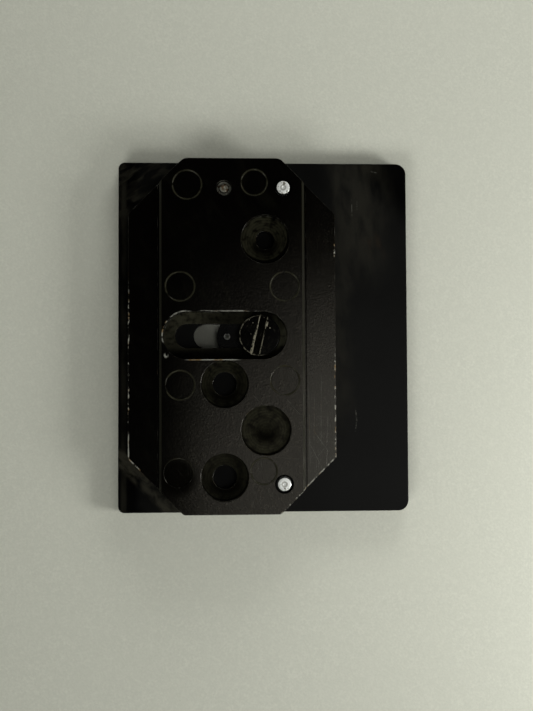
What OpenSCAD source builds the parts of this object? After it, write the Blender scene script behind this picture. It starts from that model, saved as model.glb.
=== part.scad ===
// Sliding plate carrier: an octagonal flanged plate clamped on a rectangular base by one coin-slot screw.
// Millimetres. Origin: centre of the base's underside. +X along the clamp slots, +Y along the plates, +Z up.

/* [Base] */
// Width of the base plate, along the clamp slot
base_w = 120.4; // [112:0.2:130]
// Length of both plates, across the clamp slot
plate_len = 145.4; // [140:0.2:156]
// Thickness of the base plate
base_t = 5; // [4.8:0.1:7]
// Thickness of the facing sheet under the base
facing_t = 0.8; // [0.5:0.1:1.5]
// Length of the base's own clamp slot, end to end
base_slot_len = 57.9; // [54:0.1:64]

/* [Slide plate] */
// Width across the two flanges
flange_w = 84.8; // [82:0.2:92]
// Width of the raised centre
raised_w = 59.4; // [57:0.2:62]
// Whole thickness of the slide plate
slide_t = 8.4; // [8.4:0.1:10]
// Height of the raised centre above the flanges
raised_h = 2; // [1.2:0.1:2.6]
// Leg of each corner cut
corner_cut = 22.7; // [20:0.1:23.5]
// Depth of the wide slot that takes the screw head
ledge_depth = 5.1; // [5:0.1:5.6]
// Width of the wide slot
wide_slot_w = 19.5; // [18.5:0.1:20]
// Distance between the slots' end centres, which is the slide's travel
slot_run = 31.2; // [28:0.1:32]

/* [Clamp] */
// Width of the narrow slots that take the screw's shank
slot_w = 9.9; // [9.7:0.1:10.2]
// Radius of the clamp screw's shank
shank_r = 4.7; // [4.5:0.05:4.75]
// Radius of the clamp screw's head
head_r = 8.4; // [8:0.1:8.8]
// Thickness of the clamp screw's head
head_t = 3; // [2.6:0.1:3.2]
// Direction of the coin slot in the head
coin_angle = 77; // [0:1:180]
// Place of the clamp screw along the base slot at rest
screw_x = -1.9; // [-10:0.1:10]
// Gap from the screw's axis to the right end centre of the plate's slot at rest
end_gap = 1.5; // [0.5:0.1:5]

/* [Locating pins] */
// Radius of a full pin's tip
pin_r = 2.8; // [2.5:0.05:2.9]
// Height of a full pin's tip above the raised face
pin_proud = 0.9; // [0.5:0.1:1]
// Radius of the short pin's tip
short_pin_r = 1.95; // [1.7:0.05:2.2]
// Depth of the short pin's tip below the raised face
short_pin_sunk = 1.2; // [0.8:0.1:1.5]

/* [Hidden] */
$fn = 96;

// Levels, from the underside up
base_z = facing_t;
base_top = base_z + base_t;
channel_roof = base_top - 1.8;
slide_z = base_top + 0.1;
slide_top = slide_z + slide_t;
flange_top = slide_top - raised_h;
ledge_z = slide_top - ledge_depth;

// Outline corners
base_r_left = 2.6;
base_r_right = 4.3;
flange_corner_r = 3.4;
far_end_corner_r = 4;
near_end_corner_r = 2;
edge_bevel = 1;
relief_w = 0.7;
relief_depth = 0.5;

// Tee nut and its channel under the base
nut_w = 18.4;
nut_len = 35.2;
nut_t = 3;
channel_w = nut_w + 0.4;
channel_len = 88;
nut_z = channel_roof - 0.05 - nut_t;
nut_pin_x = -13.3;
nut_pin_r = 1.25;
nut_pin_wall = 0.4;
facing_slot_w = 11;

// Slide plate's own layout: the octagon's centre, and places measured from it
slot_x = -2.9;
slide_x = screw_x + end_gap - slot_x - slot_run / 2;
bolt_x = -3.1;
bolt_y = [-19.85, -57.7];
bolt_r = 4.9;
bolt_seat_r = 9.8;
bolt_seat_depth = 2.5;
upper_hole = [13.6, 39.3];
upper_hole_r = 3.8;
upper_seat_r = 10;
upper_seat_depth = 3;
blind_seat = [13.7, -38.7];
blind_seat_r = 10.3;
blind_seat_depth = 1;
large_mark_r = 5.9;
small_mark_r = 5.3;
mark_depth = 0.3;
deep_mark_depth = 0.7;
large_marks = [[-18.3, 61.7], [-21.2, 20], [21.5, 20], [21.4, -18.4], [-21.9, -55.7]];
small_marks = [[9.1, 62.7], [12.7, -55.2]];
deep_mark = [-21.2, -20.2];

// Clamp stack
washer_r = 8.1;
washer_t = 0.8;
washer_bore_r = 4.95;
lock_washer_r = 7.6;
lock_washer_t = 1;
stack_gap = 0.05;
lock_z = ledge_z + washer_t + 2 * stack_gap;
head_z = lock_z + lock_washer_t + stack_gap;
coin_w = 3;
coin_depth = 1.5;
thread_pitch = 1.5875;
thread_depth = 0.8;
shank_end_z = nut_z + 0.2;

// Locating pins: a stepped hole from below holds the collar, the spring and the plug
pin_x = 21;
short_pin_x = -3.2;
pin_y = 60.5;
pin_hole_r = 3.4;
short_hole_r = 3.15;
chamber_r = 4.4;
chamber_top = slide_top - 2.6;
collar_r = 4.32;
collar_t = 1.2;
collar_top = chamber_top - 0.05;
plug_t = 1.3;
plug_z = slide_z + 0.1;
spring_r = 3.2;
spring_wire_r = 0.22;
spring_turns = 4;
spring_z = plug_z + plug_t + 0.02;
spring_h = collar_top - collar_t - 0.02 - spring_z;

function unit(v) = v / norm(v);

// Arc that rounds one corner of a convex outline listed anticlockwise
function corner_arc(before, corner, after, r, steps) =
    let (
        a = unit(before - corner),
        b = unit(after - corner),
        half = acos(a * b) / 2,
        centre = corner + unit(a + b) * r / sin(half),
        start = corner + a * r / tan(half) - centre,
        first = atan2(start[1], start[0])
    )
    [for (i = [0 : steps]) centre + r * [cos(first + (180 - 2 * half) * i / steps),
                                         sin(first + (180 - 2 * half) * i / steps)]];

function rounded(points, radii, steps = 8) =
    let (n = len(points))
    [for (i = [0 : n - 1])
        each corner_arc(points[(i + n - 1) % n], points[i], points[(i + 1) % n], radii[i], steps)];

// A slot outline with round ends, centred on the origin; run is the distance between its end centres
module slot_2d(run, width) {
    square([run, width], center = true);
    for (side = [-1, 1])
        translate([side * run / 2, 0])
            circle(d = width);
}

module slot_cut(run, width, depth) {
    linear_extrude(depth)
        slot_2d(run, width);
}

module base_outline() {
    x = base_w / 2;
    y = plate_len / 2;
    polygon(rounded(
        [[x, -y], [x, y], [-x, y], [-x, -y]],
        [base_r_right, base_r_right, base_r_left, base_r_left]));
}

// Octagon centred on the origin
module slide_outline() {
    x = flange_w / 2;
    y = plate_len / 2;
    c = corner_cut;
    f = flange_corner_r;
    polygon(rounded(
        [[x, c - y], [x, y - c], [x - c, y], [c - x, y], [-x, y - c], [-x, c - y], [c - x, -y], [x - c, -y]],
        [1, f, far_end_corner_r, far_end_corner_r, f, f, near_end_corner_r, near_end_corner_r]));
}

module base_plate() {
    color("#161614")
        difference() {
            translate([0, 0, base_z])
                linear_extrude(base_t)
                    base_outline();
            translate([0, 0, base_z - 1])
                slot_cut(base_slot_len - slot_w, slot_w, base_t + 2);
            translate([0, 0, base_z - 1])
                slot_cut(channel_len - channel_w, channel_w, channel_roof - base_z + 1);
        }
}

// Thin non-slip sheet glued under the base; it keeps the tee nut in its channel
module base_facing() {
    inset = 0.8;
    color("#1c1a18")
        difference() {
            linear_extrude(facing_t)
                intersection() {
                    base_outline();
                    square([base_w - 2 * inset, plate_len - 2 * inset], center = true);
                }
            translate([0, 0, -1])
                slot_cut(base_slot_len - slot_w, facing_slot_w, facing_t + 2);
        }
}

module tee_nut() {
    color("#121211")
        translate([screw_x, 0, 0])
            difference() {
                translate([0, 0, nut_z])
                    slot_cut(nut_len - nut_w, nut_w, nut_t);
                translate([0, 0, nut_z - 1])
                    cylinder(r = shank_r + 0.06, h = nut_t + 2);
                translate([nut_pin_x, 0, nut_z - 1])
                    cylinder(r = nut_pin_r, h = nut_t + 2);
            }
}

// Slotted spring pin; its end stands in the base slot and stops the nut at the slot's left end
module nut_pin() {
    pin_len = base_top - 0.5 - nut_z - 0.2;
    color("#c9c6bd")
        translate([screw_x + nut_pin_x, 0, nut_z + 0.2])
            difference() {
                cylinder(r = nut_pin_r - 0.01, h = pin_len);
                translate([0, 0, -1])
                    cylinder(r = nut_pin_r - nut_pin_wall, h = pin_len + 2);
                translate([-0.3, 0, -1])
                    cube([0.6, nut_pin_r + 1, pin_len + 2]);
            }
}

// Profile of the shank: ring ridges at the thread's pitch, from the tip up to the plain neck
function shank_profile(length, ridges) = concat(
    [[0, 0], [shank_r - thread_depth, 0]],
    [for (i = [0 : ridges - 1]) each [
        [shank_r, (i + 0.5) * thread_pitch],
        [shank_r - thread_depth, (i + 1) * thread_pitch]]],
    [[shank_r, (ridges + 0.5) * thread_pitch], [shank_r, length], [0, length]]);

module clamp_screw() {
    crown = 0.35;
    bevel = 0.6;
    shank_len = head_z - shank_end_z;
    color("#191917")
        translate([screw_x, 0, 0]) {
            translate([0, 0, shank_end_z])
                rotate_extrude()
                    polygon(shank_profile(shank_len, 3));
            difference() {
                translate([0, 0, head_z])
                    rotate_extrude()
                        polygon([
                            [0, 0], [head_r - 0.3, 0], [head_r, 0.3], [head_r, head_t - bevel - crown],
                            [head_r - bevel, head_t - crown], [head_r * 0.55, head_t - 0.08], [0, head_t]]);
                rotate([0, 0, coin_angle])
                    translate([-head_r - 1, -coin_w / 2, head_z + head_t - coin_depth])
                        cube([2 * head_r + 2, coin_w, coin_depth + 1]);
            }
        }
}

// Split spring washer under the head
module lock_washer() {
    color("#6d6b66")
        translate([screw_x, 0, lock_z])
            difference() {
                cylinder(r = lock_washer_r, h = lock_washer_t);
                translate([0, 0, -1])
                    cylinder(r = washer_bore_r, h = lock_washer_t + 2);
                rotate([0, 0, 200])
                    translate([washer_bore_r - 1, -0.4, -1])
                        cube([lock_washer_r, 0.8, lock_washer_t + 2]);
            }
}

module clamp_washer() {
    color("#8b8984")
        translate([screw_x, 0, ledge_z + stack_gap])
            difference() {
                cylinder(r = washer_r, h = washer_t);
                translate([0, 0, -1])
                    cylinder(r = washer_bore_r, h = washer_t + 2);
            }
}

// Raised centre: a bar along Y whose top edges are bevelled
module raised_bar() {
    x = raised_w / 2;
    h = slide_top - slide_z;
    translate([0, plate_len / 2 + 1, slide_z])
        rotate([90, 0, 0])
            linear_extrude(plate_len + 2)
                polygon([[-x, 0], [x, 0], [x, h - edge_bevel], [x - edge_bevel, h],
                         [edge_bevel - x, h], [-x, h - edge_bevel]]);
}

// Round recess in the raised face
module face_recess(place, r, depth) {
    translate([place[0], place[1], slide_top - depth])
        cylinder(r = r, h = depth + 1);
}

module through_hole(place, r) {
    translate([place[0], place[1], slide_z - 1])
        cylinder(r = r, h = slide_t + 2);
}

// Stepped hole for a locating pin: tip hole from the face, chamber from below
module pin_seat(place, tip_r) {
    through_hole(place, tip_r);
    translate([place[0], place[1], slide_z - 1])
        cylinder(r = chamber_r, h = chamber_top - slide_z + 1);
}

module slide_plate() {
    color("#24231f")
        translate([slide_x, 0, 0])
            difference() {
                union() {
                    translate([0, 0, slide_z])
                        linear_extrude(slide_t - raised_h)
                            slide_outline();
                    intersection() {
                        translate([0, 0, slide_z])
                            linear_extrude(slide_t)
                                slide_outline();
                        raised_bar();
                    }
                }
                for (side = [-1, 1])
                    translate([side * (raised_w + relief_w) / 2, 0, flange_top])
                        cube([relief_w, plate_len + 2, 2 * relief_depth], center = true);
                translate([slot_x, 0, ledge_z])
                    slot_cut(slot_run, wide_slot_w, ledge_depth + 1);
                translate([slot_x, 0, slide_z - 1])
                    slot_cut(slot_run, slot_w, slide_t + 2);
                for (y = bolt_y) {
                    face_recess([bolt_x, y], bolt_seat_r, bolt_seat_depth);
                    through_hole([bolt_x, y], bolt_r);
                }
                face_recess(upper_hole, upper_seat_r, upper_seat_depth);
                through_hole(upper_hole, upper_hole_r);
                face_recess(blind_seat, blind_seat_r, blind_seat_depth);
                for (place = large_marks)
                    face_recess(place, large_mark_r, mark_depth);
                for (place = small_marks)
                    face_recess(place, small_mark_r, mark_depth);
                face_recess(deep_mark, large_mark_r, deep_mark_depth);
                for (y = [-pin_y, pin_y])
                    pin_seat([pin_x, y], pin_hole_r);
                pin_seat([short_pin_x, pin_y], short_hole_r);
            }
}

// Collared pin, turned in one piece; its tip ends at top_z
module locating_pin(place, tip_r, top_z) {
    tip_len = top_z - collar_top;
    color("#c9c6bd")
        translate([slide_x + place[0], place[1], collar_top - collar_t])
            rotate_extrude()
                polygon([
                    [0, 0], [collar_r - 0.2, 0], [collar_r, 0.2], [collar_r, collar_t],
                    [tip_r, collar_t], [tip_r, collar_t + tip_len - 0.55],
                    [tip_r - 0.2, collar_t + tip_len - 0.2], [tip_r - 0.6, collar_t + tip_len - 0.05],
                    [0.7, collar_t + tip_len], [0, collar_t + tip_len - 0.35]]);
}

// Compression spring: a round wire swept along a helix
module pin_spring(place) {
    steps = 12;
    sides = 6;
    rings = spring_turns * steps;
    rise = spring_h - 2 * spring_wire_r;
    points = [for (i = [0 : rings], j = [0 : sides - 1])
        let (turn = 360 * i / steps, around = 360 * j / sides,
             r = spring_r + spring_wire_r * cos(around))
        [r * cos(turn), r * sin(turn), spring_wire_r * (1 + sin(around)) + rise * i / rings]];
    walls = [for (i = [0 : rings - 1], j = [0 : sides - 1])
        let (k = (j + 1) % sides)
        [i * sides + j, (i + 1) * sides + j, (i + 1) * sides + k, i * sides + k]];
    first_cap = [for (j = [0 : sides - 1]) j];
    last_cap = [for (j = [sides - 1 : -1 : 0]) rings * sides + j];
    color("#9a978f")
        translate([slide_x + place[0], place[1], spring_z])
            polyhedron(points, concat(walls, [first_cap, last_cap]));
}

// Plug that closes a pin's chamber, with a screwdriver slot underneath
module pin_plug(place) {
    slot_depth = 0.6;
    color("#3b3a36")
        translate([slide_x + place[0], place[1], plug_z])
            difference() {
                cylinder(r = chamber_r - 0.04, h = plug_t);
                translate([0, 0, slot_depth / 2 - 0.5])
                    cube([2 * chamber_r + 2, 1, slot_depth + 1], center = true);
            }
}

full_tip_z = slide_top + pin_proud;
short_tip_z = slide_top - short_pin_sunk;

base_plate();
base_facing();
tee_nut();
nut_pin();
clamp_screw();
lock_washer();
clamp_washer();
slide_plate();
locating_pin([pin_x, pin_y], pin_r, full_tip_z);  // locating_pin_upper
locating_pin([pin_x, -pin_y], pin_r, full_tip_z);  // locating_pin_lower
locating_pin([short_pin_x, pin_y], short_pin_r, short_tip_z);  // locating_pin_short
pin_spring([pin_x, pin_y]);  // pin_spring_upper
pin_spring([pin_x, -pin_y]);  // pin_spring_lower
pin_spring([short_pin_x, pin_y]);  // pin_spring_short
pin_plug([pin_x, pin_y]);  // pin_plug_upper
pin_plug([pin_x, -pin_y]);  // pin_plug_lower
pin_plug([short_pin_x, pin_y]);  // pin_plug_short
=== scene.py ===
"""Looks of the sliding plate carrier: finishes, worn edges, pin springs, table, light and camera.

Lengths in the materials are millimetres in the row frame; everything handed to Blender is in metres.
"""

import math
from types import SimpleNamespace

import bmesh
import bpy
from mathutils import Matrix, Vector

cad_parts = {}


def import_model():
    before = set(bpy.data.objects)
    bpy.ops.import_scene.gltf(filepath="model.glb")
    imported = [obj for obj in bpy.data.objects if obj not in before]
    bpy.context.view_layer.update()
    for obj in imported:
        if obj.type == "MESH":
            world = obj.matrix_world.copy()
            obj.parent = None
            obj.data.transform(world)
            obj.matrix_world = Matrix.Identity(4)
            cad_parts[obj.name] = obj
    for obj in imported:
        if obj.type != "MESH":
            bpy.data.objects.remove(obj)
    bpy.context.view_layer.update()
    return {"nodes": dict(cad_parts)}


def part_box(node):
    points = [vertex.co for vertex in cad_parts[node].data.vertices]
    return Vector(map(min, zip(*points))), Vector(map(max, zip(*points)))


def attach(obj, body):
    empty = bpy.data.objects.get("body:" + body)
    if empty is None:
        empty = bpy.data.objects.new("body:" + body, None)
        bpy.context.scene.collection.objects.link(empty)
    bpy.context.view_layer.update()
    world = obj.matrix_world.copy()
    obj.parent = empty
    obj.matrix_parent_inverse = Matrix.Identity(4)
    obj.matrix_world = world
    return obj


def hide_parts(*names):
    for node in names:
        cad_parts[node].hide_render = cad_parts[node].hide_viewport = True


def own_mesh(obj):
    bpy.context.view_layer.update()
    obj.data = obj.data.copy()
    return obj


MM = 0.001

# Levels of the slide plate
LEDGE = 9.2
FLANGE_TOP = 12.3
SLIDE_TOP = 14.3

# Slide plate, measured from its own centre
RAISED_HALF = 29.7
FLANGE_HALF = 42.4
CORNER_CUT = 22.7
PLATE_HALF = 72.7
SLOT_X = -2.9
SLOT_RUN = 31.2
WIDE_SLOT_HALF = 9.75

# Seats on the slide plate: x, y, radius, and radius of the hole or, in the last one, of a dark spot
SEATS = [(-3.1, -19.85, 9.8, 4.9), (-3.1, -57.7, 9.8, 4.9), (13.6, 39.3, 10.0, 3.8), (13.7, -38.7, 10.3, 2.2)]
TURNING_PITCH = 1.15
# How far the painted shadow along a seat's lower rim reaches in, in the upper seat and in the lower ones
UPPER_SEAT_SHADOW = 1.3
LOWER_SEAT_SHADOW = 0.45

# Round casting marks
LARGE_MARKS = [(-18.3, 61.7), (-21.2, 20), (21.5, 20), (21.4, -18.4), (-21.9, -55.7), (-21.2, -20.2)]
SMALL_MARKS = [(9.1, 62.7), (12.7, -55.2)]
LARGE_MARK_R = 5.9
SMALL_MARK_R = 5.3

# Locating pins and their springs
PIN_PLACES = [(21, 60.5), (21, -60.5)]
PIN_HOLE_R = 3.4
PIN_R = 2.8
LATHE_PITCH = 0.22
SPRING_WIRE = 0.22
SPRING_TURNS = 6
SPRING_FLAT_TURNS = 0.75

# Clamp screw; its wear shows above HEAD_FOOT and the grime in the coin slot below COIN_TOP
SCREW_X = -1.9
HEAD_R = 8.4
HEAD_FOOT = 12.2
COIN_TOP = 13.6
COIN_ANGLE = 77
COIN_HALF = 1.5

# Pale scratches on the slide plate: start, end, half width
PLATE_SCRATCHES = [
    ((31.2, -17), (31.8, -60), 0.16),
    ((33.6, -22), (33.2, -52), 0.12),
    ((36.5, -12), (36.2, -48), 0.14),
    ((39.0, -30), (38.4, -58), 0.12),
    ((32.5, -38), (39.5, -48), 0.2),
    ((33.0, -36), (37.5, -42.5), 0.14),
    ((31.5, -44), (36.5, -54), 0.18),
    ((34.5, -50), (40.0, -43), 0.12),
    ((16.5, -49.5), (28.5, -50.5), 0.14),
    ((14.5, -60.5), (26.0, -53.0), 0.1),
    ((8.0, -24), (14.0, -30), 0.12),
    ((22.0, -26), (28.0, -33), 0.12),
]

# Pale scuffs on the base, in the row frame: start, end, half width
BASE_SCUFFS = [
    ((38.2, -30), (38.8, -36), 0.35),
    ((38.8, -35), (38.0, -40), 0.3),
    ((37.2, 58), (37.4, 50), 0.25),
    ((39.5, 57), (39.5, 53), 0.2),
    ((45.2, 69.5), (48.2, 68.8), 0.3),
]

# Width of the rounding on hard edges, by the start of a node's name
EDGE_WIDTHS = {
    "base_plate": 0.35,
    "base_facing": 0.12,
    "slide_plate": 0.14,
    "tee_nut": 0.25,
    "nut_pin": 0.06,
    "clamp_screw": 0.12,
    "lock_washer": 0.1,
    "clamp_washer": 0.1,
    "locating_pin": 0.05,
    "pin_plug": 0.1,
}

# Rounding of hard edges: reach of the weld, then in degrees the bend up to which faces count as one
# flat face and the bend from which an edge is rounded
WELD_REACH = 0.002
FLAT_ANGLE = 0.1
EDGE_ANGLE = 32

# Linear colours of the slide plate, from the bare coating up to dust and metal, with painted sheen and
# painted shade among them
COAT_DEEP = (0.0004, 0.00035, 0.0003)
COAT = (0.0012, 0.001, 0.0008)
# Painted sheen: the coating paler towards the lower right, and grit specks brighter there
PAINTED_SHEEN_COAT = (0.0085, 0.0078, 0.006)
SHEEN_GRIT = (0.03, 0.027, 0.021)
# Painted sheen on the right flange
FLANGE_SHEEN = (0.034, 0.033, 0.029)
SEAT_DUST = (0.0225, 0.0219, 0.0132)
LEDGE_DUST = (0.027, 0.026, 0.017)
# Dust at the ledge's right end, made paler as painted light
LEDGE_END_DUST_AND_LIGHT = (0.085, 0.083, 0.055)
# Grime, also used for painted shade in the seats and at the raised face's lower left
GRIME_AND_SHADE = (0.001, 0.0008, 0.0005)
METAL = (0.24, 0.24, 0.21)
OCHRE_METAL = (0.15, 0.1, 0.045)
# Painted shade in the gaps round the pins
GAP_SHADE = (0.0002, 0.0002, 0.0002)

# Linear colours of the base
BASE_DEEP = (0.0012, 0.0012, 0.0011)
BASE_PALE = (0.0038, 0.0039, 0.0036)
BASE_SHADE = (0.0003, 0.0003, 0.0003)
BASE_DUST = (0.0125, 0.0118, 0.0085)
# Dust in the base's band at the lower left, made paler as painted light
CORNER_DUST_AND_LIGHT = (0.034, 0.032, 0.023)
RUST = (0.013, 0.009, 0.0055)
SCUFF = (0.045, 0.045, 0.038)

# Tints of the base's highlights: in general, and in its shaded places
PLAIN_GLOSS = (1.0, 1.0, 1.0)
SHADE_GLOSS = (0.3, 0.3, 0.3)

# Tints of the slide plate's highlights: in general, in its upper and left parts, on dust and dirt
WARM_GLOSS = (1.0, 0.94, 0.84)
FAINT_GLOSS = (0.1, 0.1, 0.08)
DUST_GLOSS = (0.04, 0.04, 0.03)

# Stage, in metres: the table's inner and outer radius, the wall's curved foot, its lift and its top
TABLE_MIDDLE_R = 0.6
TABLE_R = 3.0
SWEEP_R = 0.6
SWEEP_LIFT = 0.002
WALL_TOP = 1.7

# Lamps: name, azimuth and elevation in degrees, distance and size in metres, watts, tint, seen in gloss
LAMPS = [
    ("key", -20, 23, 0.45, (0.15, 0.12), 1.47, (1.0, 1.0, 0.97), True),
    ("overhead", -40.6, 71.8, 0.445, (0.24, 0.24), 0.155, (1.0, 0.99, 0.94), True),
    ("near_fill", -120, 34, 2.0, (1.2, 0.7), 17.1, (1.0, 1.0, 0.98), False),
    ("far_fill", 75, 18, 0.6, (0.3, 0.15), 1.7, (1.0, 1.0, 0.98), False),
]

# Camera: place in metres, tilt in degrees, lens in millimetres on a 36 mm sensor
CAMERA_PLACE = (-0.0153, -0.0218, 0.3902)
CAMERA_TILT = (2.07, -2.444, -0.2465)
CAMERA_LENS = 46.84
SENSOR_WIDTH = 36


# --- Node helpers ---------------------------------------------------------------------------------


class Term:
    """A number or a point that a material works out at each place, usable in ordinary sums."""

    def __init__(self, tree, socket):
        self.tree = tree
        self.socket = socket

    def combine(self, operation, *others):
        """This and the other values, joined by one Math node."""
        node = self.tree.nodes.new("ShaderNodeMath")
        node.operation = operation
        for slot, value in zip(node.inputs, (self, *others)):
            feed(self.tree, slot, value)
        return Term(self.tree, node.outputs[0])

    def __add__(self, other):
        return self.combine("ADD", other)

    def __sub__(self, other):
        return self.combine("SUBTRACT", other)

    def __rsub__(self, other):
        return (self * -1) + other

    def __mul__(self, other):
        return self.combine("MULTIPLY", other)

    def __pow__(self, other):
        return self.combine("POWER", other)

    def __abs__(self):
        return self.combine("ABSOLUTE")

    __radd__ = __add__
    __rmul__ = __mul__

    def most(self, other):
        return self.combine("MAXIMUM", other)

    def least(self, other):
        return self.combine("MINIMUM", other)

    def sine(self):
        return self.combine("SINE")

    def rise(self, low, high):
        """0 up to low, 1 from high on, smooth between; low above high gives a fall."""
        node = self.tree.nodes.new("ShaderNodeMapRange")
        node.interpolation_type = "SMOOTHSTEP"
        feed(self.tree, node.inputs["Value"], self)
        feed(self.tree, node.inputs["From Min"], low)
        feed(self.tree, node.inputs["From Max"], high)
        return Term(self.tree, node.outputs[0])

    def band(self, centre, half, soft):
        """1 within half of centre, falling to 0 over soft."""
        return abs(self - centre).rise(half + soft, half)


def feed(tree, socket, value):
    """Links a Term to a socket, or sets a plain number or colour on it."""
    if isinstance(value, Term):
        tree.links.new(value.socket, socket)
    elif isinstance(value, (tuple, list)):
        size = len(socket.default_value)
        socket.default_value = tuple(value) + (1.0,) * (size - len(value))
    else:
        socket.default_value = value


def any_of(masks):
    """The strongest of several masks."""
    total = masks[0]
    for mask in masks[1:]:
        total = total.most(mask)
    return total


class Finish:
    """A material, with short calls for the patterns that the finishes share.

    Its x is measured from centre_x; patterns that aren't given a place stay in the row frame.
    """

    def __init__(self, name, centre_x=0):
        self.material = bpy.data.materials.new(name)
        self.material.use_nodes = True
        self.tree = self.material.node_tree
        self.tree.nodes.clear()
        coordinate = self.tree.nodes.new("ShaderNodeTexCoord")
        self.point = self.vector("SCALE", Term(self.tree, coordinate.outputs["Object"]), 1 / MM)
        row_x, self.y, self.z = self.split(self.point)
        self.x = row_x - centre_x
        self.up = self.split(Term(self.tree, coordinate.outputs["Normal"]))[2]

    def vector(self, operation, first, second):
        node = self.tree.nodes.new("ShaderNodeVectorMath")
        node.operation = operation
        feed(self.tree, node.inputs[0], first)
        feed(self.tree, node.inputs["Scale"] if operation == "SCALE" else node.inputs[1], second)
        return Term(self.tree, node.outputs[0])

    def split(self, vector):
        node = self.tree.nodes.new("ShaderNodeSeparateXYZ")
        feed(self.tree, node.inputs[0], vector)
        return [Term(self.tree, output) for output in node.outputs]

    def placed(self, stretch, turn, shift):
        """The point, turned about Z by turn degrees and squeezed so that a pattern stretches."""
        node = self.tree.nodes.new("ShaderNodeMapping")
        node.vector_type = "TEXTURE"
        feed(self.tree, node.inputs["Vector"], self.point)
        feed(self.tree, node.inputs["Location"], (shift, shift * 0.7, shift * 0.3))
        feed(self.tree, node.inputs["Rotation"], (0, 0, math.radians(turn)))
        feed(self.tree, node.inputs["Scale"], stretch)
        return Term(self.tree, node.outputs[0])

    def noise(self, size, detail=3.0, stretch=(1, 1, 1), turn=0, shift=0.0, warp=0.0):
        """Cloudy pattern with features of about size millimetres, 0 to 1 and 0.5 on average."""
        node = self.tree.nodes.new("ShaderNodeTexNoise")
        feed(self.tree, node.inputs["Vector"], self.placed(stretch, turn, shift))
        feed(self.tree, node.inputs["Scale"], 1 / size)
        feed(self.tree, node.inputs["Detail"], detail)
        feed(self.tree, node.inputs["Distortion"], warp)
        return Term(self.tree, node.outputs[0])

    def cells(self, size, shift=0.0):
        """Distance from the nearest of many scattered points, in cells."""
        node = self.tree.nodes.new("ShaderNodeTexVoronoi")
        feed(self.tree, node.inputs["Vector"], self.placed((1, 1, 1), 0, shift))
        feed(self.tree, node.inputs["Scale"], 1 / size)
        return Term(self.tree, node.outputs["Distance"])

    def reach(self, x, y):
        """Distance from the upright axis through x, y."""
        return ((self.x - x) ** 2 + (self.y - y) ** 2) ** 0.5

    def scratch(self, start, end, half_width):
        """A straight scratch between two points, tapering at its ends."""
        run = Vector(end) - Vector(start)
        along = run.normalized()
        dx = self.x - start[0]
        dy = self.y - start[1]
        travelled = dx * along.x + dy * along.y
        aside = abs(dy * along.x - dx * along.y)
        middle = travelled.band(run.length / 2, run.length * 0.3, run.length * 0.2)
        return aside.rise(half_width, half_width * 0.3) * middle

    def scratches(self, lines):
        """All scratches of a list of (start, end, half width)."""
        return any_of([self.scratch(*line) for line in lines])

    def hairlines(self, width, length, turn, share, shift=0.0):
        """Many fine parallel scratches; share is how much of the surface they may touch."""
        lines = self.noise(width, 1, (1, length / width, 1), turn, shift)
        patches = self.noise(length * 0.8, 2, shift=shift + 40)
        edge = 0.74 - share
        return lines.rise(edge, edge + 0.05) * patches.rise(0.42, 0.62)

    def blend(self, mask, low, high):
        """Colour low where mask is 0 and high where it is 1."""
        node = self.tree.nodes.new("ShaderNodeMix")
        node.data_type = "RGBA"
        factor, first, second = (node.inputs[i] for i in (0, 6, 7))
        feed(self.tree, factor, mask)
        feed(self.tree, first, low)
        feed(self.tree, second, high)
        return Term(self.tree, node.outputs[2])

    def level(self, mask, low, high):
        """Number low where mask is 0 and high where it is 1."""
        return mask * (high - low) + low

    def top_edge(self):
        """1 on the rounded or bevelled strips between an upright wall and a level face."""
        return self.up.rise(0.12, 0.4) * self.up.rise(0.985, 0.86)

    def surface(self, colour, roughness, relief=None, depth=0.05, **inputs):
        """Joins everything to one Principled shader. relief is a height, depth its size in millimetres."""
        shader = self.tree.nodes.new("ShaderNodeBsdfPrincipled")
        feed(self.tree, shader.inputs["Base Color"], colour)
        feed(self.tree, shader.inputs["Roughness"], roughness)
        for name, value in inputs.items():
            feed(self.tree, shader.inputs[name.replace("_", " ")], value)
        if relief is not None:
            bump = self.tree.nodes.new("ShaderNodeBump")
            feed(self.tree, bump.inputs["Height"], relief)
            feed(self.tree, bump.inputs["Distance"], depth * MM)
            feed(self.tree, shader.inputs["Normal"], Term(self.tree, bump.outputs[0]))
        output = self.tree.nodes.new("ShaderNodeOutputMaterial")
        feed(self.tree, output.inputs["Surface"], Term(self.tree, shader.outputs[0]))
        return self.material


# --- Finish of the base ---------------------------------------------------------------------------


def base_dust(finish):
    """Dust on the base, 0 to 1: upper left corner, left border, beside the slide plate, upper right."""
    x, y = finish.x, finish.y
    streaks = finish.noise(2.2, 4, (3.5, 1, 1), 32, 5, 0.6)
    cloud = finish.noise(4, 5, (1, 3, 1), 6, 12, 0.3)
    wobble = finish.noise(9, 3, shift=50) * 9
    corner = (x - y).rise(-96, -112) * y.rise(38, 52) * streaks.rise(0.42, 0.7)
    border = x.band(-57.9, 0.5, 1.3) * finish.noise(6, 3, (1, 3, 1), 0, 30).rise(0.3, 0.65)
    beside = (x + wobble).rise(44, 36) * x.rise(28, 31) * y.rise(-48, -20) * cloud.rise(0.2, 0.6)
    upper = x.rise(24, 34) * (x + wobble).rise(62, 46) * (y + wobble).rise(18, 46)
    upper = upper * cloud.rise(0.2, 0.66)
    return any_of([corner, border * 0.8, beside * 0.75, upper * 0.8])


def base_corner_band(finish):
    """Band of dust beside the slide plate's cut corner at the lower left, made paler as painted light where
    the slide plate shades it, 0 to 1.
    """
    across = finish.x + finish.y
    patches = finish.noise(3.2, 5, (1.6, 1, 1), -38, 90, 0.5).rise(0.3, 0.62)
    return across.rise(-104, -106) * across.rise(-115.5, -112) * finish.x.rise(-28, -34) * patches


def base_dark_places(finish):
    """The base's upper right and lower left corners and its left side, which lie in deep shade."""
    across = finish.x + finish.y
    return any_of([across.rise(102, 118), across.rise(-118, -126), finish.x.rise(-50, -54)])


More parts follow.
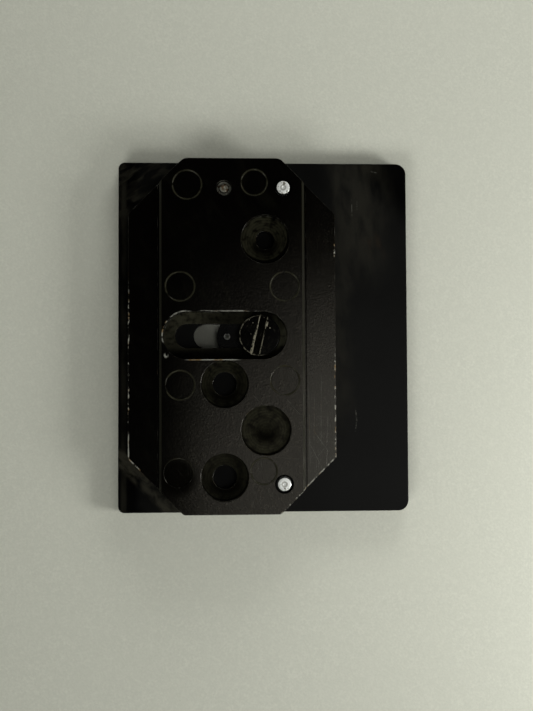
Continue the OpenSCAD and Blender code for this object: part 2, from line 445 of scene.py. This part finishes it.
def black_base():
    """Matt black base plate: handled, dusty near the slide plate, with a few pale scuffs."""
    finish = Finish("black_base")
    cloud = finish.noise(24, 4, shift=3)
    fine = finish.noise(0.6, 2)
    level = finish.up.rise(0.6, 0.95)
    grain = level * (fine * 0.5 + 0.75)
    dark = base_dark_places(finish)
    rust = finish.reach(46.5, 38).rise(9, 1) * finish.noise(4, 4, (1, 3, 1), 12, 9).rise(0.45, 0.7)
    scuffs = finish.scratches(BASE_SCUFFS) * level * finish.noise(0.9, 3, shift=61).rise(0.4, 0.62)
    edge = finish.top_edge() * finish.noise(5, 4, shift=21).rise(0.4, 0.62)
    dust = base_dust(finish) * grain
    colour = finish.blend(cloud, BASE_DEEP, BASE_PALE)
    colour = finish.blend(dark * 0.85, colour, BASE_SHADE)
    colour = finish.blend(dust, colour, BASE_DUST)
    colour = finish.blend(base_corner_band(finish) * grain, colour, CORNER_DUST_AND_LIGHT)
    colour = finish.blend(rust * 0.6, colour, RUST)
    colour = finish.blend(scuffs.most(edge * 0.4), colour, SCUFF)
    roughness = finish.level(cloud, 0.36, 0.44) + dust * 0.25 + fine * 0.05
    relief = fine * 0.5 + finish.noise(0.25, 1, shift=7) * 0.4
    gloss = finish.blend(dark, PLAIN_GLOSS, SHADE_GLOSS)
    return finish.surface(colour, roughness, relief, 0.03, Specular_IOR_Level=0.13, Specular_Tint=gloss)


# --- Finish of the slide plate --------------------------------------------------------------------


def seat_masks(finish):
    """The seats: (inside, smudge round the hole with painted shadow along the lower rim, turning rings), each
    0 to 1.
    """
    inside = []
    smudge_and_shadow = []
    rings = []
    for x, y, outer, inner in SEATS:
        distance = finish.reach(x, y)
        within = distance.rise(outer + 0.2, outer - 0.2)
        below = (finish.y - y).rise(inner * 0.4 + 2.5, -inner - 1)
        lean = UPPER_SEAT_SHADOW if y > 0 else LOWER_SEAT_SHADOW
        # Painted shadow: a dark crescent inside the seat along its lower rim
        rim_shadow = finish.reach(x - lean * 0.3, y + lean).rise(outer - 0.7, outer - 0.2)
        wave = (distance * (2 * math.pi / TURNING_PITCH) + finish.noise(7, 2, shift=x) * 5).sine()
        inside.append(within)
        smudge_and_shadow.append(distance.rise(inner + 5.6, inner + 0.6) * (below * 0.7 + 0.3))
        smudge_and_shadow.append(within * rim_shadow)
        rings.append(within * (wave * 0.5 + 0.5))
    return any_of(inside), any_of(smudge_and_shadow), any_of(rings)


def mark_rings(finish):
    """Thin rings at the rims of the round casting marks."""
    rims = []
    for places, radius in ((LARGE_MARKS, LARGE_MARK_R), (SMALL_MARKS, SMALL_MARK_R)):
        rims += [finish.reach(x, y).band(radius, 0.15, 0.4) for x, y in places]
    return any_of(rims)


def pin_gap_shade(finish):
    """Painted shade in the clearance rings round the two full pins."""
    rims = [finish.reach(x, y).rise(PIN_HOLE_R + 0.6, PIN_HOLE_R + 0.3) for x, y in PIN_PLACES]
    return any_of(rims)


def slot_distance(finish):
    """Distance from the slide plate's slot centreline."""
    past_end = (abs(finish.x - SLOT_X) - SLOT_RUN / 2).most(0)
    return (past_end ** 2 + finish.y ** 2) ** 0.5


def worn_flanges(finish, chips):
    """Bare metal in chips along the flanges' outer edges and the lower cut corners."""
    x, y = finish.x, finish.y
    corner = FLANGE_HALF + PLATE_HALF - CORNER_CUT
    right_stretches = any_of([y.band(35, 2, 1), y.rise(-6, -12)])
    return any_of([
        x.band(FLANGE_HALF, 0.4, 0.25) * chips.rise(0.5, 0.55) * right_stretches,
        x.band(-FLANGE_HALF, 0.4, 0.25) * chips.rise(0.55, 0.61) * y.rise(24, 8),
        x.band(-FLANGE_HALF, 0.3, 0.25) * chips.rise(0.4, 0.5) * y.rise(-38, -42),
        (x + y).band(-corner, 0.5, 0.3) * chips.rise(0.4, 0.5) * x.rise(-36, -39),
        (x - y).band(corner, 0.5, 0.4) * chips.rise(0.42, 0.6) * x.rise(10, 20),
    ])


def worn_lips(finish):
    """Bare metal on the slot's lips: ragged along the upper one, clean on part of the lower one."""
    x, y = finish.x, finish.y
    ragged = finish.noise(1.6, 4, (2.5, 1, 1), 0, 44).rise(0.42, 0.62)
    from_slot = slot_distance(finish)
    upper = from_slot.band(WIDE_SLOT_HALF, 0.3, 0.3) * y.rise(-6, 0) * x.rise(16, 4) * ragged
    lower = from_slot.band(WIDE_SLOT_HALF, 0.25, 0.3) * y.rise(-5, -8) * x.band(SLOT_X - 5, 8, 4)
    return (upper * 0.8).most(lower) * finish.z.rise(SLIDE_TOP - 0.8, SLIDE_TOP - 0.3)


def plate_scratches(finish, speck, sheen_and_handling):
    """Pale scratches and hairlines on the plate's upper faces."""
    hair = finish.hairlines(0.16, 16, 3, 0.1, 5).most(finish.hairlines(0.14, 12, 38, 0.07, 25))
    lines = finish.scratches(PLATE_SCRATCHES) * speck.rise(0.3, 0.5)
    return lines.most(hair * sheen_and_handling * 0.5) * finish.z.rise(FLANGE_TOP - 0.3, FLANGE_TOP - 0.1)


def plate_metal(finish, bevel, scratches):
    """Bare metal: chips along the edges, a nick beside the slot, rubbed rims and scratches."""
    chips = finish.noise(1.1, 3, (1, 1.8, 1), 0, 18)
    nick = finish.reach(-26.9, -8.2).rise(1.3, 0.2) * chips.rise(0.42, 0.52)
    chipped = worn_flanges(finish, chips).most(nick) * finish.z.rise(FLANGE_TOP - 1.0, FLANGE_TOP - 0.4)
    rims = finish.top_edge() * (1 - bevel) * finish.noise(2.6, 4, shift=70).rise(0.46, 0.72)
    return any_of([chipped, worn_lips(finish), rims * 0.3, scratches * 0.16])


def plate_wear(finish):
    """Where each kind of dirt and wear, painted sheen and painted shade lies on the slide plate; every mask
    runs from 0 to 1.
    """
    x, y, z = finish.x, finish.y, finish.z
    level = finish.up.rise(0.75, 0.97)
    raised = z.rise(FLANGE_TOP, FLANGE_TOP + 0.5)
    fine = finish.noise(0.7, 2, shift=4)
    speck = finish.noise(2.4, 4, shift=15)
    inside, smudge_and_shadow, turning = seat_masks(finish)
    floor = inside * level
    # Painted sheen: paler towards the lower right and away from the raised face's left side; hairlines also
    # gather here
    sheen_and_handling = (x - y).rise(-40, 75) * x.rise(-RAISED_HALF - 1, -RAISED_HALF + 20)
    # Dark patch at the raised face's lower left: a stain, deepened as painted shade where the sheen falls off
    stain = finish.reach(-22.5, -57.5).rise(10, 5) * raised
    rings = mark_rings(finish) * finish.noise(4, 2, shift=33).rise(0.3, 0.55)
    bevel = abs(x).band(RAISED_HALF - 0.5, 0.52, 0.08) * z.rise(FLANGE_TOP + 0.4, FLANGE_TOP + 0.7)
    scratches = plate_scratches(finish, speck, sheen_and_handling) * (1 - inside)
    return SimpleNamespace(
        cloud=finish.noise(17, 5, shift=2, warp=0.4),
        fine=fine,
        speck=speck,
        grit=fine.rise(0.45, 0.75) * speck.rise(0.3, 0.7),
        level=level,
        floor=floor,
        smudge_and_shadow=smudge_and_shadow * floor,
        turning=turning,
        sheen_and_handling=sheen_and_handling,
        # Painted sheen on the right flange, paler towards the bottom
        flange_sheen=x.rise(RAISED_HALF + 0.4, RAISED_HALF + 1.2) * y.rise(24, -48) * level,
        ledge=z.band(LEDGE, 0.4, 0.5) * level,
        stain=stain,
        rings=rings * raised * (1 - stain * 0.75),
        strip=bevel * finish.noise(6, 3, (1, 3, 1), 0, 52).rise(0.2, 0.6),
        pin_gap_shade=pin_gap_shade(finish),
        scratches=scratches,
        bare=plate_metal(finish, bevel, scratches),
    )


def plate_dust(finish, wear):
    """Olive dust in the seats, on the marks' rims and the bevels, with a thin film elsewhere."""
    in_seats = wear.floor * wear.speck.rise(0.25, 0.62) * (wear.turning * 0.45 + 0.55)
    in_seats = in_seats * (finish.y.rise(-45, 30) * 0.7 + 0.7)
    film = wear.level * finish.noise(5, 5, (1, 2.2, 1), 24, 60, 0.5).rise(0.5, 0.78)
    return any_of([in_seats, wear.rings * 0.8, film * 0.06, wear.strip * 0.4])


def plate_colour(finish, wear):
    """Warm black coating with painted sheen towards the lower right, under dust, dirt, painted shade and bare
    metal.
    """
    x, y = finish.x, finish.y
    colour = finish.blend(wear.cloud, COAT_DEEP, COAT)
    # Painted sheen towards the lower right, with brighter grit in it
    colour = finish.blend(wear.sheen_and_handling * 0.6, colour, PAINTED_SHEEN_COAT)
    colour = finish.blend(wear.sheen_and_handling * wear.grit * 0.8, colour, SHEEN_GRIT)
    colour = finish.blend(wear.flange_sheen * (wear.grit * 0.5 + 0.5), colour, FLANGE_SHEEN)
    colour = finish.blend(plate_dust(finish, wear), colour, SEAT_DUST)
    slot_ends = x.rise(-8, -17).most(x.rise(15, 17)) * 0.5 + 0.5
    # Dust on the slot's ledge, left off its lower side as painted shade, and paler at its right end as
    # painted light
    ledge_dust_and_shade = wear.ledge * y.rise(-8, -2) * wear.speck.rise(0.2, 0.6) * slot_ends
    colour = finish.blend(ledge_dust_and_shade, colour, LEDGE_DUST)
    colour = finish.blend(ledge_dust_and_shade * x.rise(16, 19), colour, LEDGE_END_DUST_AND_LIGHT)
    # Grime and painted shade: smudges round the holes, painted shadow along the seats' lower rims, and the
    # dark patch at the lower left
    colour = finish.blend(wear.smudge_and_shadow.most(wear.stain * 0.95), colour, GRIME_AND_SHADE)
    ochre = finish.noise(5, 3, shift=81).rise(0.5, 0.66)
    colour = finish.blend(wear.bare, colour, finish.blend(ochre, METAL, OCHRE_METAL))
    return finish.blend(wear.pin_gap_shade, colour, GAP_SHADE)


def plate_gloss(finish, dull):
    """Tint of the coating's highlights: nearly none on dust and dirt, little on the upper and left parts."""
    shaded = finish.x.rise(-RAISED_HALF + 25, -RAISED_HALF).most(finish.y.rise(12, 52))
    gloss = finish.blend(shaded * 0.88, WARM_GLOSS, FAINT_GLOSS)
    return finish.blend(dull, gloss, DUST_GLOSS)


def black_casting(centre_x):
    """Black coated casting of the slide plate: warm sheen, partly painted into its colour, dusty seats,
    painted shade in hollows, bare metal at worn edges.
    """
    finish = Finish("black_casting", centre_x)
    wear = plate_wear(finish)
    dull = any_of([wear.floor, wear.ledge, wear.stain, wear.rings, wear.strip, wear.pin_gap_shade])
    roughness = finish.level(wear.cloud, 0.16, 0.22) + wear.fine * 0.06 + wear.flange_sheen * 0.1 + dull * 0.2
    relief = wear.fine * 0.65 + wear.speck * 0.25 + wear.turning * wear.floor * 0.12
    relief = relief - wear.scratches * 0.25 - wear.bare * 0.15
    return finish.surface(
        plate_colour(finish, wear), roughness, relief, 0.1,
        Specular_IOR_Level=0.4, Specular_Tint=plate_gloss(finish, dull))


# --- Finishes of the small parts ------------------------------------------------------------------


def facing_sheet():
    """Dark cork and rubber sheet: brown granules of several sizes."""
    finish = Finish("facing_sheet")
    granules = finish.cells(1.5)
    crumbs = finish.noise(0.5, 3, shift=8)
    wear = finish.noise(22, 4, shift=14).rise(0.4, 0.65)
    colour = finish.blend(granules.rise(0.25, 0.6), (0.03, 0.021, 0.013), (0.008, 0.007, 0.006))
    colour = finish.blend(crumbs.rise(0.55, 0.75) * 0.6, colour, (0.055, 0.038, 0.022))
    colour = finish.blend(wear * 0.3, colour, (0.035, 0.03, 0.024))
    roughness = finish.level(wear, 0.9, 0.72)
    return finish.surface(colour, roughness, granules * -0.8 + crumbs * 0.4, 0.12)


def black_steel():
    """Blackened tee nut: oily gloss, rubbed edges."""
    finish = Finish("black_steel")
    cloud = finish.noise(6, 4, shift=3)
    lines = finish.noise(0.3, 2, (40, 1, 1), 0, 9)
    rubbed = finish.top_edge() * finish.noise(1.8, 3, shift=17).rise(0.35, 0.6)
    rubbed = rubbed.most(lines.rise(0.66, 0.72) * 0.4)
    colour = finish.blend(cloud, (0.0012, 0.0012, 0.0011), (0.0045, 0.0043, 0.0038))
    colour = finish.blend(rubbed, colour, (0.12, 0.115, 0.1))
    roughness = finish.level(cloud, 0.2, 0.34)
    return finish.surface(colour, roughness, lines + cloud * 0.3, 0.02, Specular_IOR_Level=0.2)


def coin_slot_wear(aside, along, broken, ragged):
    """Bare metal on the coin slot's two lips, from places across and along the slot."""
    left_blob = aside.band(-COIN_HALF - 0.25, 0.3, 0.4) * along.rise(2.5, 0)
    right_blob = aside.band(COIN_HALF + 0.25, 0.3, 0.3) * along.band(5.2, 0.7, 0.6)
    return any_of([
        aside.band(-COIN_HALF - 0.1, 0.14, 0.16) * broken.rise(0.36, 0.5) * 0.55,
        aside.band(COIN_HALF + 0.08, 0.1, 0.14) * broken.rise(0.36, 0.5) * 0.5,
        left_blob * ragged.rise(0.42, 0.54) * 0.6,
        right_blob * ragged.rise(0.38, 0.5) * 0.7,
    ])


def black_screw():
    """Clamp screw: glossy black, scratched across the head, bare along the coin slot and the rim."""
    finish = Finish("black_screw", SCREW_X)
    turn = math.radians(COIN_ANGLE)
    aside = finish.x * math.sin(turn) - finish.y * math.cos(turn)
    along = finish.x * math.cos(turn) + finish.y * math.sin(turn)
    top = finish.z.rise(HEAD_FOOT, HEAD_FOOT + 0.5)
    cloud = finish.noise(3, 4, shift=11)
    broken = finish.noise(1.3, 4, shift=6)
    ragged = finish.noise(0.9, 3, shift=26)
    rim = finish.reach(0, 0).band(HEAD_R - 0.25, 0.12, 0.16) * finish.x.rise(2.5, -2)
    rim = rim * broken.rise(0.4, 0.56)
    dots = finish.cells(1.7, 14).rise(0.17, 0.1) * finish.noise(2.5, 2, shift=71).rise(0.5, 0.58)
    nicks = any_of([
        finish.hairlines(0.12, 5, 62, 0.12, 3),
        finish.hairlines(0.1, 4, -30, 0.1, 13),
        finish.hairlines(0.12, 6, 8, 0.08, 23),
    ])
    lips = coin_slot_wear(aside, along, broken, ragged)
    bare = any_of([lips, rim * 0.45, dots * 0.8, nicks * 0.05]) * top
    grime = top * aside.band(0, COIN_HALF - 0.2, 0.3) * finish.z.rise(COIN_TOP, COIN_TOP - 0.7)
    colour = finish.blend(cloud, (0.0007, 0.0007, 0.0007), (0.002, 0.0019, 0.0018))
    colour = finish.blend(grime * 0.7, colour, (0.0022, 0.002, 0.0016))
    colour = finish.blend(bare, colour, (0.3, 0.28, 0.21))
    roughness = finish.level(cloud, 0.16, 0.28) + bare * 0.2 + grime * 0.4
    relief = finish.noise(0.5, 2, shift=2) * 0.3 + cloud - nicks * 0.8 + bare * 0.5
    return finish.surface(colour, roughness, relief, 0.02, Specular_IOR_Level=0.02)


def turned_steel(name, places, bright, dull, stain, stain_share, metallic):
    """Turned pins: lathe rings and a dark ring round each pin's axis, stain in patches, painted shade on the
    flanks.
    """
    finish = Finish(name)
    nearest = finish.reach(*places[0])
    for place in places[1:]:
        nearest = nearest.least(finish.reach(*place))
    lathe_rings = (nearest * (2 * math.pi / LATHE_PITCH)).sine()
    blotch = finish.noise(1.2, 4, shift=5)
    stained = blotch.rise(0.62 - stain_share * 0.4, 0.7 - stain_share * 0.3)
    dark_ring = nearest.band(0.95, 0.15, 0.3)
    flank_shade = finish.up.rise(0.75, 0.4).most(nearest.rise(PIN_R + 0.05, PIN_R + 0.15))
    colour = finish.blend(finish.noise(0.6, 3, shift=9), dull, bright)
    colour = finish.blend(stained, colour, stain)
    colour = finish.blend(dark_ring * 0.6, colour, stain)
    # Painted shade on the pins' sides and round their faces
    colour = finish.blend(flank_shade, colour, (0.012, 0.012, 0.01))
    roughness = finish.level(blotch, 0.24, 0.42) + stained * 0.2
    relief = lathe_rings * 0.25 + blotch * 1.5
    return finish.surface(colour, roughness, relief, 0.02, Metallic=metallic)


def bright_steel(places):
    """Clean, pale pin faces."""
    return turned_steel(
        "bright_steel", places, bright=(0.95, 0.97, 0.95), dull=(0.8, 0.82, 0.8),
        stain=(0.2, 0.19, 0.16), stain_share=0.1, metallic=0.4)


def tarnished_steel(places):
    """Duller pin face with brown stain."""
    return turned_steel(
        "tarnished_steel", places, bright=(0.78, 0.8, 0.7), dull=(0.42, 0.4, 0.3),
        stain=(0.12, 0.075, 0.04), stain_share=0.3, metallic=0.6)


def plain_steel():
    """Zinc plated washers and plugs, seen only in the gaps: dull, a little stained."""
    finish = Finish("plain_steel")
    cloud = finish.noise(2.2, 4, shift=5)
    colour = finish.blend(cloud, (0.16, 0.155, 0.145), (0.34, 0.33, 0.31))
    stain = finish.noise(1.1, 3, shift=12).rise(0.56, 0.72)
    colour = finish.blend(stain * 0.7, colour, (0.06, 0.04, 0.024))
    roughness = finish.level(cloud, 0.34, 0.55) + stain * 0.2
    return finish.surface(colour, roughness, cloud, 0.03, Metallic=0.85)


def spring_steel():
    """Drawn spring wire with an oily grey oxide."""
    finish = Finish("spring_steel")
    cloud = finish.noise(0.8, 3, shift=1)
    colour = finish.blend(cloud, (0.2, 0.195, 0.185), (0.36, 0.35, 0.33))
    roughness = finish.level(cloud, 0.25, 0.42)
    return finish.surface(colour, roughness, finish.noise(0.2, 2), 0.01, Metallic=0.9)


# --- Finishes of the stage ------------------------------------------------------------------------


def table_paper():
    """Pale grey-green paper on the table: faint grain and soft mottling."""
    finish = Finish("table_paper")
    grain = finish.noise(0.9, 4, shift=1)
    mottle = finish.noise(14, 5, shift=30)
    specks = finish.noise(1.6, 2, shift=55).rise(0.76, 0.8)
    fibres = finish.noise(2.6, 5, shift=12, warp=1.2)
    colour = finish.blend(grain.rise(0.25, 0.75), (0.53, 0.538, 0.468), (0.6, 0.608, 0.53))
    colour = finish.blend(fibres.rise(0.35, 0.65) * 0.5, colour, (0.52, 0.53, 0.462))
    colour = finish.blend(mottle.rise(0.3, 0.7) * 0.35, colour, (0.55, 0.558, 0.485))
    colour = finish.blend(specks * 0.4, colour, (0.38, 0.385, 0.33))
    return finish.surface(colour, 0.85, grain, 0.06)


def studio_wall():
    """Evenly lit pale wall: a faint glow of its own stands in for the lights outside the room."""
    finish = Finish("studio_wall")
    cloud = finish.noise(400, 3)
    colour = finish.blend(cloud, (0.5, 0.51, 0.46), (0.56, 0.57, 0.51))
    return finish.surface(colour, 0.9, Emission_Color=colour, Emission_Strength=0.55)


# --- Pieces ---------------------------------------------------------------------------------------


def soften(piece, width):
    """Gives a CAD piece's hard edges a small rounding, and clean shading on its flat faces."""
    weld = piece.modifiers.new("weld", "WELD")
    weld.merge_threshold = WELD_REACH * MM
    merge = piece.modifiers.new("merge", "DECIMATE")
    merge.decimate_type = "DISSOLVE"
    merge.angle_limit = math.radians(FLAT_ANGLE)
    bevel = piece.modifiers.new("bevel", "BEVEL")
    bevel.width = width * MM
    bevel.segments = 2
    bevel.limit_method = "ANGLE"
    bevel.angle_limit = math.radians(EDGE_ANGLE)
    bevel.use_clamp_overlap = False
    bevel.harden_normals = False
    shading = piece.modifiers.new("shading", "WEIGHTED_NORMAL")
    shading.keep_sharp = False
    shading.weight = 80


def edge_width(name):
    """Width of the rounding on a node's hard edges, or None for a node that has none."""
    for start, width in EDGE_WIDTHS.items():
        if name.startswith(start):
            return width
    return None


def add_piece(name, shape):
    """Turns a finished bmesh into a smooth-shaded object in the scene."""
    mesh = bpy.data.meshes.new(name)
    shape.to_mesh(mesh)
    shape.free()
    mesh.polygons.foreach_set("use_smooth", [True] * len(mesh.polygons))
    piece = bpy.data.objects.new(name, mesh)
    bpy.context.scene.collection.objects.link(piece)
    return piece


def helix(name, centre, low, high, radius, wire, turns):
    """A compression spring: round wire on a helix, its end turns lying flat."""
    steps = 40
    sides = 10
    rings = turns * steps
    shape = bmesh.new()
    loops = []
    for i in range(rings + 1):
        turn = 2 * math.pi * i / steps
        climb = (i / rings * turns - SPRING_FLAT_TURNS) / (turns - 2 * SPRING_FLAT_TURNS)
        height = low + wire + (high - low - 2 * wire) * min(max(climb, 0), 1)
        loop = []
        for j in range(sides):
            around = 2 * math.pi * j / sides
            reach = radius + wire * math.cos(around)
            place = (reach * math.cos(turn), reach * math.sin(turn), height + wire * math.sin(around))
            loop.append(shape.verts.new(Vector(centre) + Vector(place)))
        loops.append(loop)
    for first, second in zip(loops, loops[1:]):
        for j in range(sides):
            k = (j + 1) % sides
            shape.faces.new((first[j], second[j], second[k], first[k]))
    shape.faces.new(loops[0])
    shape.faces.new(reversed(loops[-1]))
    bmesh.ops.recalc_face_normals(shape, faces=shape.faces)
    return add_piece(name, shape)


def pin_spring(which, material):
    """Fine spring under one locating pin, in place of the CAD one."""
    node = "pin_spring_" + which
    low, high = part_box(node)
    centre = ((low.x + high.x) / 2, (low.y + high.y) / 2, 0)
    wire = SPRING_WIRE * MM
    radius = (high.x - low.x) / 2 - wire
    piece = helix("spring_" + which, centre, low.z, high.z, radius, wire, SPRING_TURNS)
    piece.data.materials.append(material)
    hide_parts(node)
    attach(piece, "slide")
    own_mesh(piece)


# --- Stage ----------------------------------------------------------------------------------------


def backdrop(name, profile, material):
    """A round surface on the stage, its profile given as radius and height in metres from inside out."""
    shape = bmesh.new()
    steps = 96
    turns = [2 * math.pi * i / steps for i in range(steps)]
    loops = []
    for radius, height in profile:
        loops.append([shape.verts.new((radius * math.cos(t), radius * math.sin(t), height)) for t in turns])
    for inner, outer in zip(loops, loops[1:]):
        for i in range(steps):
            j = (i + 1) % steps
            shape.faces.new((inner[i], outer[i], outer[j], inner[j]))
    starts_level = profile[0][1] == profile[1][1]
    if starts_level:
        shape.faces.new(loops[0])
    piece = add_piece(name, shape)
    piece.data.materials.append(material)


def table():
    """Table top, far wider than any view of the object, and a pale studio wall round it."""
    backdrop("table_top", [(TABLE_MIDDLE_R, 0), (TABLE_R, 0)], table_paper())
    foot_r = TABLE_R - SWEEP_R
    curve = [math.radians(turn) for turn in range(0, 91, 15)]
    sweep = [(foot_r + SWEEP_R * math.sin(t), SWEEP_LIFT + SWEEP_R * (1 - math.cos(t))) for t in curve]
    backdrop("studio_wall", sweep + [(TABLE_R, WALL_TOP)], studio_wall())


def panel_light(name, azimuth, elevation, distance, size, power, tint, in_gloss):
    """A soft panel aimed at the object; azimuth runs from +X towards +Y, in degrees."""
    light = bpy.data.lights.new(name, "AREA")
    light.shape = "RECTANGLE"
    light.size, light.size_y = size
    light.energy = power
    light.color = tint
    lamp = bpy.data.objects.new(name, light)
    out = math.radians(azimuth)
    rise = math.radians(elevation)
    place = Vector((math.cos(out) * math.cos(rise), math.sin(out) * math.cos(rise), math.sin(rise)))
    lamp.location = place * distance
    lamp.rotation_euler = place.to_track_quat("Z", "Y").to_euler()
    lamp.visible_glossy = in_gloss
    bpy.context.scene.collection.objects.link(lamp)


def light_world(tree):
    """A dark room above the table and a pale glow below it, which shows the underside."""
    glow = tree.nodes["Background"]
    glow.inputs["Color"].default_value = (0.97, 1.0, 0.95, 1)
    coordinate = tree.nodes.new("ShaderNodeTexCoord")
    split = tree.nodes.new("ShaderNodeSeparateXYZ")
    feed(tree, split.inputs[0], Term(tree, coordinate.outputs["Generated"]))
    upright = Term(tree, split.outputs["Z"])
    feed(tree, glow.inputs["Strength"], upright.rise(0.0, -0.08) * 0.5 + 0.01)


def light_room():
    """A low key from the right, a broad panel overhead at the lower right, and a fill on each side."""
    world = bpy.data.worlds.new("room")
    world.use_nodes = True
    light_world(world.node_tree)
    bpy.context.scene.world = world
    for lamp in LAMPS:
        panel_light(*lamp)


def place_camera():
    """Looks down on the table from where the photograph was taken."""
    lens = bpy.data.cameras.new("camera")
    lens.lens = CAMERA_LENS
    lens.sensor_width = SENSOR_WIDTH
    lens.clip_start = 0.01
    camera = bpy.data.objects.new("camera", lens)
    camera.location = CAMERA_PLACE
    camera.rotation_euler = [math.radians(angle) for angle in CAMERA_TILT]
    bpy.context.scene.collection.objects.link(camera)
    bpy.context.scene.camera = camera


# --- Build ----------------------------------------------------------------------------------------


def centre_of(node):
    """Middle of a node's box from above, in millimetres."""
    low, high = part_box(node)
    middle = (low + high) / 2
    return middle.x / MM, middle.y / MM


def all_finishes():
    """Every material of the object, by the name of its CAD slot."""
    bright_pins = [centre_of(node) for node in ("locating_pin_upper", "locating_pin_lower", "nut_pin")]
    return {
        "black_base": black_base(),
        "black_casting": black_casting(centre_of("slide_plate")[0]),
        "facing_sheet": facing_sheet(),
        "black_steel": black_steel(),
        "black_screw": black_screw(),
        "bright_steel": bright_steel(bright_pins),
        "tarnished_steel": tarnished_steel([centre_of("locating_pin_short")]),
        "plain_steel": plain_steel(),
        "spring_steel": spring_steel(),
    }


def build():
    """Dresses the CAD nodes, adds the fine springs, the stage, the light and the camera."""
    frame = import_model()
    finishes = all_finishes()
    for name, node in frame["nodes"].items():
        for slot in node.material_slots:
            slot.material = finishes[slot.material.name.split(".")[0]]
        width = edge_width(name)
        if width:
            soften(node, width)
    for which in ("upper", "lower", "short"):
        pin_spring(which, finishes["spring_steel"])
    table()
    light_room()
    place_camera()
    bpy.context.scene.view_settings.view_transform = "Standard"


build()
